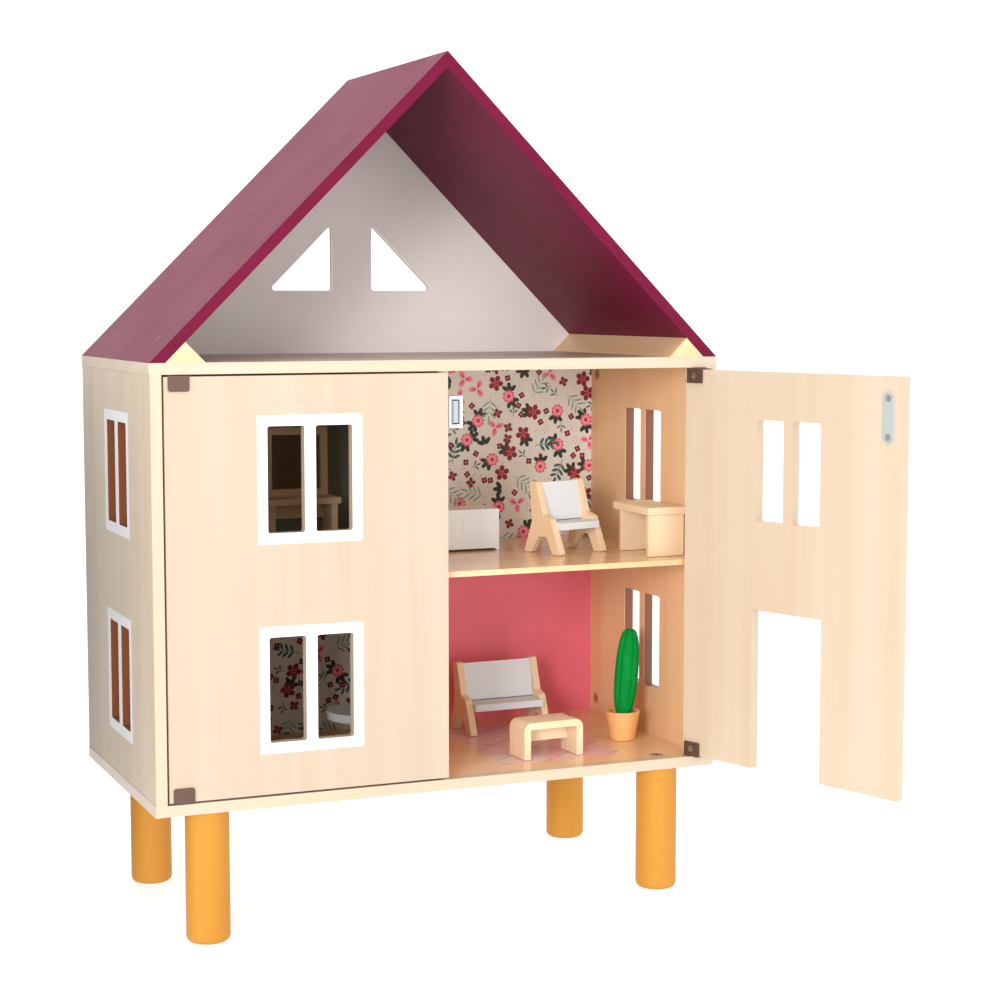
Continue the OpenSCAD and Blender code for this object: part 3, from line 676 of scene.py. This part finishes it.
class Growth(Graph):
    """A geometry tree with named inputs, turned into plain meshes."""

    def __init__(self, name, inputs):
        super().__init__(bpy.data.node_groups.new(name, "GeometryNodeTree"))
        face = self.tree.interface
        self.keys = {}
        for label, kind in inputs:
            self.keys[label] = face.new_socket(label, in_out="INPUT", socket_type=kind).identifier
        self.keys["Material"] = face.new_socket(
            "Material", in_out="INPUT", socket_type="NodeSocketMaterial").identifier
        face.new_socket("Geometry", in_out="OUTPUT", socket_type="NodeSocketGeometry")
        entry = self.tree.nodes.new("NodeGroupInput")
        self.given = {socket.name: Wire(self, socket) for socket in entry.outputs if socket.name}

    def vector(self, x, y, z):
        return self.add("ShaderNodeCombineXYZ", {}, {"X": x, "Y": y, "Z": z})

    def disc(self, length, width, shift, vertices=10):
        """Flat oval of that length and width, moved along X."""
        ring = self.add("GeometryNodeMeshCircle", {"fill_type": "NGON"},
                        {"Vertices": vertices, "Radius": 0.5})
        return self.add("GeometryNodeTransform", {}, {
            "Geometry": ring, "Translation": self.vector(shift, 0.0, 0.0),
            "Scale": self.vector(length, width, 1.0)})

    def repeat(self, points, shape, turn):
        return self.add("GeometryNodeInstanceOnPoints", {}, {
            "Points": points, "Instance": shape, "Rotation": self.vector(0.0, 0.0, turn)})

    def close(self, geometry):
        solid = self.add("GeometryNodeRealizeInstances", {}, {"Geometry": geometry})
        done = self.add("GeometryNodeSetMaterial", {},
                        {"Geometry": solid, "Material": self.given["Material"]})
        self.add("NodeGroupOutput", {}, {"Geometry": done})

    def mesh(self, **values):
        carrier = link("growth", bpy.data.meshes.new("growth"))
        grown = carrier.modifiers.new("growth", "NODES")
        grown.node_group = self.tree
        for label, value in values.items():
            grown[self.keys[label.replace("_", " ")]] = value
        view = bpy.context.evaluated_depsgraph_get()
        result = bpy.data.meshes.new_from_object(carrier.evaluated_get(view))
        bpy.data.objects.remove(carrier)
        return result


def blossom_tree():
    """Oval petals turned round a middle."""
    growth = Growth("blossom", [("Petals", "NodeSocketInt"), ("Reach", "NodeSocketFloat"),
                                ("Petal Length", "NodeSocketFloat"), ("Petal Width", "NodeSocketFloat")])
    given = growth.given
    petal = growth.disc(given["Petal Length"], given["Petal Width"], given["Reach"])
    points = growth.add("GeometryNodeMeshLine", {}, {"Count": given["Petals"], "Offset": (0.0, 0.0, 0.0)})
    number = growth.add("GeometryNodeInputIndex")
    growth.close(growth.repeat(points, petal, number * (2 * math.pi) / given["Petals"]))
    return growth


def sprig_tree():
    """Pairs of leaves up a stem, with one leaf at its tip."""
    growth = Growth("sprig", [("Pairs", "NodeSocketInt"), ("Spacing", "NodeSocketFloat"),
                              ("Leaf Length", "NodeSocketFloat"), ("Leaf Width", "NodeSocketFloat"),
                              ("Lean", "NodeSocketFloat"), ("Stem", "NodeSocketFloat")])
    given = growth.given
    leaf = growth.disc(given["Leaf Length"], given["Leaf Width"], given["Leaf Length"] * 0.55, 8)
    line = growth.add("GeometryNodeMeshLine", {}, {
        "Count": given["Pairs"], "Offset": growth.vector(0.0, given["Spacing"], 0.0)})
    tall = given["Pairs"] * given["Spacing"]
    tip = growth.add("GeometryNodeTransform", {}, {
        "Geometry": leaf, "Translation": growth.vector(0.0, tall - given["Spacing"] * 0.5, 0.0),
        "Rotation": (0.0, 0.0, math.pi / 2)})
    stem = growth.add("GeometryNodeTransform", {}, {
        "Geometry": growth.add("GeometryNodeMeshGrid", {}, {
            "Size X": given["Stem"], "Size Y": tall, "Vertices X": 2, "Vertices Y": 2}),
        "Translation": growth.vector(0.0, tall * 0.5 - given["Spacing"], 0.0)})
    join = growth.tree.nodes.new("GeometryNodeJoinGeometry")
    right_leaves = growth.repeat(line, leaf, given["Lean"])
    left_leaves = growth.repeat(line, leaf, math.pi - given["Lean"])
    for part in (right_leaves, left_leaves, tip, stem):
        growth.tree.links.new(part.socket, join.inputs[0])
    growth.close(Wire(growth, join.outputs[0]))
    return growth


def outlines(mesh):
    """Flat faces of a mesh as loops of points."""
    return [[Vector(mesh.vertices[k].co[:2]) for k in face.vertices] for face in mesh.polygons]


paper = wall_paper("wall_paper")
blossom, sprig = blossom_tree(), sprig_tree()
PAPER_GROUND = paint(236, 237, 233)
PINK_WALL = paint(238, 114, 134)
GREY_GREEN_WALL = paint(128, 142, 134)
BOARD_BACK = paint(196, 172, 140)


def petals(count, reach, length, width, colour):
    shape = blossom.mesh(Petals=count, Reach=reach, Petal_Length=length, Petal_Width=width, Material=paper)
    return [(loop, colour) for loop in outlines(shape)]


def dot(size, colour):
    return petals(1, 0.0, size, size, colour)


def leaves(pairs, spacing, length, width, lean, colour, stem=0.0007):
    shape = sprig.mesh(Pairs=pairs, Spacing=spacing, Leaf_Length=length, Leaf_Width=width,
                       Lean=math.radians(lean), Stem=stem, Material=paper)
    return [(loop, colour) for loop in outlines(shape)]


def moved(loops, turn, x, y):
    """The same coloured outlines, turned by a matrix and moved."""
    return [([turn @ point + Vector((x, y)) for point in loop], ink) for loop, ink in loops]


def turned(loops, degrees, x=0.0, y=0.0):
    return moved(loops, Matrix.Rotation(math.radians(degrees), 2), x, y)


def motifs():
    """Each motif is (radius it needs, how many to try for, coloured outlines)."""
    maroon, wine, night = paint(138, 16, 42), paint(92, 10, 30), paint(16, 52, 46)
    crimson, rose, blush = paint(206, 44, 84), paint(232, 96, 132), paint(255, 192, 204)
    petal_pink, coral = paint(252, 160, 180), paint(255, 142, 164)
    teal, fern = paint(52, 108, 104), paint(136, 182, 170)
    leaf = leaves(1, 0.0006, 0.0104, 0.0052, 38, night, 0.0004)
    target = (petals(9, 0.0052, 0.0052, 0.0042, rose) + dot(0.0118, coral) + dot(0.0086, blush)
              + dot(0.0060, rose) + dot(0.0032, crimson))
    star = (petals(5, 0.0056, 0.0072, 0.0064, maroon) + petals(5, 0.0030, 0.0044, 0.0024, maroon)
            + dot(0.0050, crimson))
    wings = petals(3, 0.0058, 0.0100, 0.0068, petal_pink) + petals(3, 0.0044, 0.0076, 0.0030, rose)
    return [
        (0.0136, 12, turned(leaf, 180, 0.0, -0.0044) + turned(leaf, -30, 0.0036, 0.0040) + target),
        (0.0118, 8, turned(leaf, 60, -0.0034, 0.0034) + target),
        (0.0098, 13, star),
        (0.0120, 9, turned(leaf, 150, -0.0022, -0.0046) + star),
        (0.0104, 14, wings),
        (0.0116, 16, leaves(3, 0.0062, 0.0112, 0.0022, 38, fern, 0.0005)),
        (0.0108, 11, leaves(3, 0.0060, 0.0088, 0.0036, 34, teal, 0.0009)),
        (0.0088, 9, leaf),
        (0.0066, 14, petals(4, 0.0034, 0.0052, 0.0046, maroon) + dot(0.0024, crimson)),
        (0.0060, 18, leaves(1, 0.0038, 0.0066, 0.0020, 34, teal, 0.0007)),
        (0.0042, 60, petals(4, 0.0020, 0.0040, 0.0038, wine) + dot(0.0030, rose)),
        (0.0058, 14, turned(petals(5, 0.0036, 0.0012, 0.0012, rose), 20) + dot(0.0013, crimson)),
        (0.0028, 44, dot(0.0014, petal_pink) + petals(2, 0.0018, 0.0010, 0.0010, rose)),
    ]


def scattered(area, kinds):
    """Places motifs so that none overlaps another, and returns their coloured outlines."""
    low_x, low_z, high_x, high_z = area
    packing, tries_each = 0.88, 150
    placed, shapes = [], []
    for radius, count, outline in kinds:
        done = 0
        for _ in range(count * tries_each):
            x, z = rng.uniform(low_x, high_x), rng.uniform(low_z, high_z)
            if any((x - a) ** 2 + (z - b) ** 2 < (packing * (radius + c)) ** 2 for a, b, c in placed):
                continue
            placed.append((x, z, radius))
            shapes += moved(outline, Matrix.Rotation(rng.uniform(0, 2 * math.pi), 2), x, z)
            done += 1
            if done == count:
                break
    return shapes


def printed_wall(node, upper, lower, kinds):
    """Back panel whose front face is cut along the outlines of its print.
    upper and lower are the plain colours of the two rooms' walls. None is the printed one."""
    low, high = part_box(node)
    split = (shelf_low.z + shelf_high.z) / 2
    grounds = (upper, lower)
    areas = ((low.x, split, high.x, high.z), (low.x, low.z, high.x, split))
    shapes = []
    for (x0, z0, x1, z1), ground in zip(areas, grounds):
        corners = [Vector(point) for point in ((x0, z0), (x1, z0), (x1, z1), (x0, z1))]
        shapes.append((corners, ground or PAPER_GROUND))
    printed = grounds.index(None)
    shapes += scattered(areas[printed], kinds)
    points, faces = [], []
    for loop, _ in shapes:
        faces.append(list(range(len(points), len(points) + len(loop))))
        points += loop
    flat, edges, cut, _, _, sources = geometry.delaunay_2d_cdt(points, [], faces, 1, 1e-7)
    shell = bmesh.new()
    ink_layer = shell.loops.layers.float_color.new("ink")
    corners = [shell.verts.new((point.x, low.y, point.y)) for point in flat]
    for face, source in zip(cut, sources):
        if not source or min(source) >= len(areas):
            continue
        made = shell.faces.new([corners[k] for k in face])
        for loop in made.loops:
            loop[ink_layer] = shapes[max(source) if printed in source else min(source)][1]
    loose = [corner for corner in shell.verts if not corner.link_faces]
    bmesh.ops.delete(shell, geom=loose, context="VERTS")
    rim = [edge for edge in shell.edges if edge.is_boundary]
    sides = bmesh.ops.extrude_edge_only(shell, edges=rim)["geom"]
    for corner in sides:
        if isinstance(corner, bmesh.types.BMVert):
            corner.co.y = high.y
    back_rim = [edge for edge in sides if isinstance(edge, bmesh.types.BMEdge) and edge.is_boundary]
    back = bmesh.ops.contextual_create(shell, geom=back_rim)["faces"]
    for face in back + [face for face in sides if isinstance(face, bmesh.types.BMFace)]:
        for loop in face.loops:
            loop[ink_layer] = BOARD_BACK
    bmesh.ops.recalc_face_normals(shell, faces=shell.faces)
    mesh = bpy.data.meshes.new(node + "_print")
    shell.to_mesh(mesh)
    shell.free()
    piece = link(node + "_print", mesh, paper)
    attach(piece, body_of(node))
    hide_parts(node)


kinds = motifs()
printed_wall("right_back_panel", None, PINK_WALL, kinds)
printed_wall("left_back_panel", GREY_GREEN_WALL, None, kinds)
